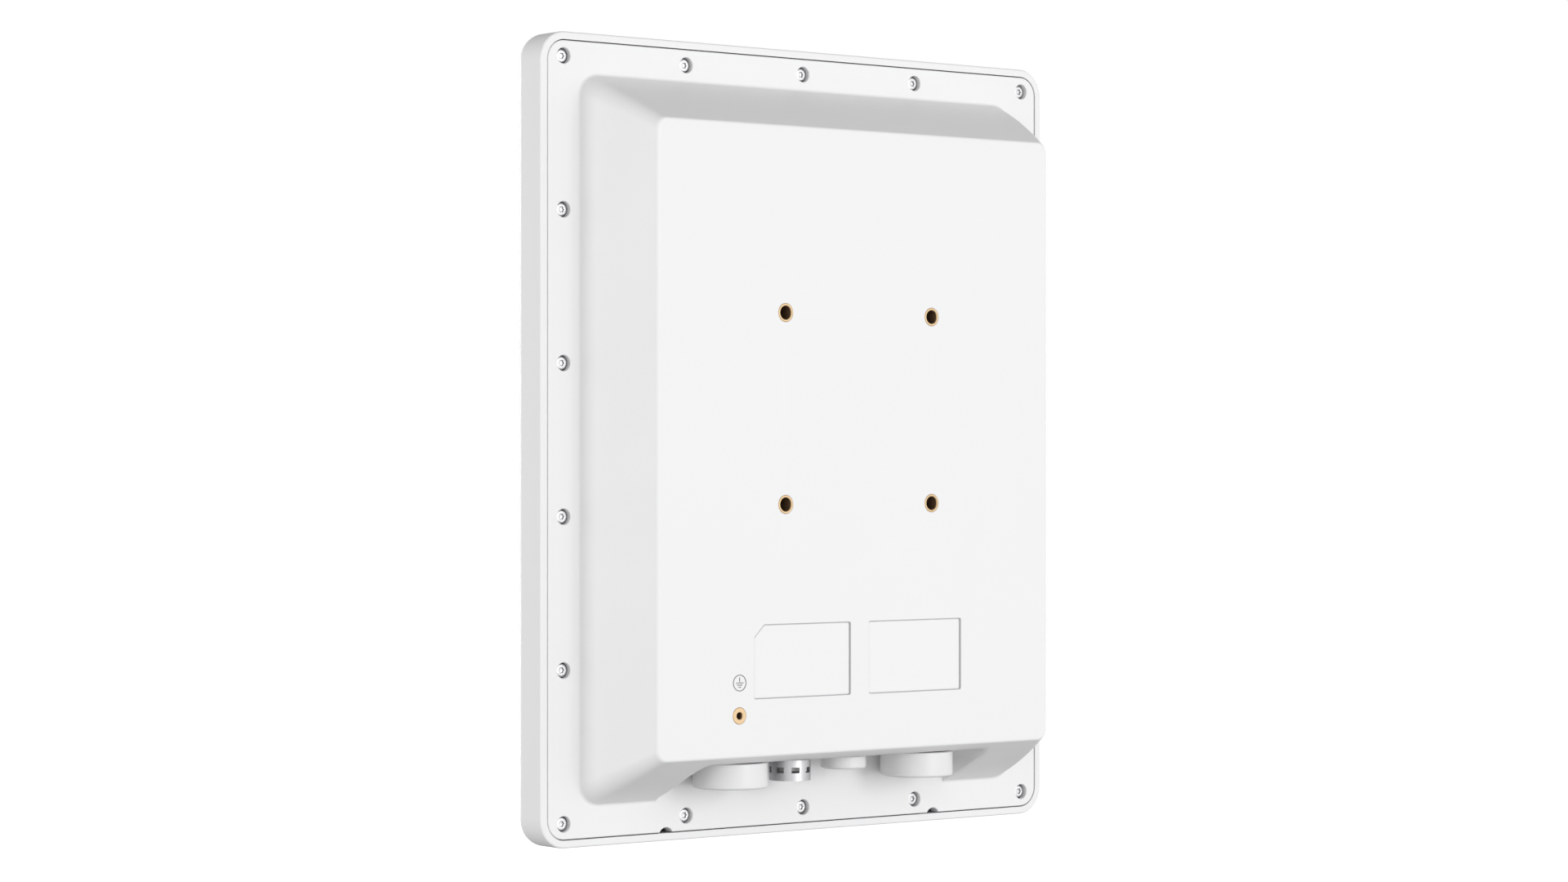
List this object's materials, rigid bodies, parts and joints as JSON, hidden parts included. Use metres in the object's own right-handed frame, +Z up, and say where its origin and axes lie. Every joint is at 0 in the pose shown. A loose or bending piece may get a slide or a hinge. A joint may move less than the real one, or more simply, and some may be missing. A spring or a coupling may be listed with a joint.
{
  "type": "integrated reader antenna panel",
  "caption": "Flat white reader antenna panel for a retail security gate, with a raised rear housing, threaded mounting inserts, a bottom connector bay and screw-on port caps.",
  "frame": {"origin": "centre of the four mounting inserts, in the plane of the flat back face", "axes": "+Y out of the back face towards what it is mounted on, +Z up, the smooth front faces -Y"},
  "size_m": [0.344, 0.07, 0.42],
  "materials": {
    "radome": "fine moulded texture, light grey white",
    "housing": "fine moulded texture, white",
    "gasket": "matte",
    "screw_steel": "satin stainless",
    "insert_brass": "satin",
    "label": "smooth matte film",
    "reflector": "milled",
    "patch_copper": "satin copper alloy",
    "standoff": "matte",
    "gold_contact": "gold plated",
    "board_green": "solder mask",
    "shield_steel": "tinned",
    "thermal": "soft silicone",
    "component": "gloss",
    "coax_jacket": "smooth",
    "jack_steel": "tinned",
    "port_plastic": "satin",
    "seal_rubber": "matte",
    "nut_metal": "satin",
    "cap_plastic": "satin",
    "membrane": "porous",
    "vent_metal": "satin"
  },
  "bodies": {
    "panel": {"front_radome": "radome", "rear_housing": "housing", "perimeter_gasket": "gasket", "cover_screws": "screw_steel", "mount_inserts": "insert_brass", "ground_insert": "insert_brass", "left_label": "label", "right_label": "label", "reflector_plate": "reflector", "reflector_screws": "screw_steel", "upper_patch": "patch_copper", "lower_patch": "patch_copper", "patch_standoffs": "standoff", "feed_pins": "gold_contact", "feed_board": "board_green", "reader_board": "board_green", "board_screws": "screw_steel", "rf_shield": "shield_steel", "processor_shield": "shield_steel", "thermal_pad": "thermal", "power_parts": "component", "coax_jumper": "coax_jacket", "coax_plugs": "gold_contact", "network_jack": "jack_steel", "signal_jack": "jack_steel", "service_jack": "jack_steel", "network_port": "port_plastic", "network_seal": "seal_rubber", "network_locknut": "nut_metal", "signal_port": "port_plastic", "signal_seal": "seal_rubber", "signal_locknut": "nut_metal", "service_port": "port_plastic", "service_seal": "seal_rubber", "service_locknut": "nut_metal", "vent_body": "port_plastic", "vent_seal": "seal_rubber", "vent_locknut": "nut_metal", "vent_membrane": "membrane", "vent_cap": "vent_metal"},
    "network_washer_body": {"network_washer": "seal_rubber"},
    "network_cap_body": {"network_cap": "cap_plastic"},
    "signal_washer_body": {"signal_washer": "seal_rubber"},
    "signal_cap_body": {"signal_cap": "cap_plastic"},
    "service_washer_body": {"service_washer": "seal_rubber"},
    "service_cap_body": {"service_cap": "cap_plastic"}
  },
  "joints": [
    {"name": "network_cap_travel", "type": "slide", "parent": "panel", "child": "network_washer_body", "axis": [0, 0, -1], "range_m": [0, 0.006]},
    {"name": "network_cap_turn", "type": "hinge", "parent": "network_washer_body", "child": "network_cap_body", "pos_m": [0.0655, -0.0275, -0.1915], "axis": [0, 0, -1], "range_deg": [0, 1080]},
    {"name": "signal_cap_travel", "type": "slide", "parent": "panel", "child": "signal_washer_body", "axis": [0, 0, -1], "range_m": [0, 0.006]},
    {"name": "signal_cap_turn", "type": "hinge", "parent": "signal_washer_body", "child": "signal_cap_body", "pos_m": [-0.0625, -0.0275, -0.1915], "axis": [0, 0, -1], "range_deg": [0, 1080]},
    {"name": "service_cap_travel", "type": "slide", "parent": "panel", "child": "service_washer_body", "axis": [0, 0, -1], "range_m": [0, 0.003]},
    {"name": "service_cap_turn", "type": "hinge", "parent": "service_washer_body", "child": "service_cap_body", "pos_m": [-0.011, -0.0275, -0.1915], "axis": [0, 0, -1], "range_deg": [0, 720]}
  ],
  "couplings": [
    {"joint": "network_cap_travel", "follows": "network_cap_turn", "m_per_rad": 0.0003183},
    {"joint": "signal_cap_travel", "follows": "signal_cap_turn", "m_per_rad": 0.0003183},
    {"joint": "service_cap_travel", "follows": "service_cap_turn", "m_per_rad": 0.0002387}
  ]
}
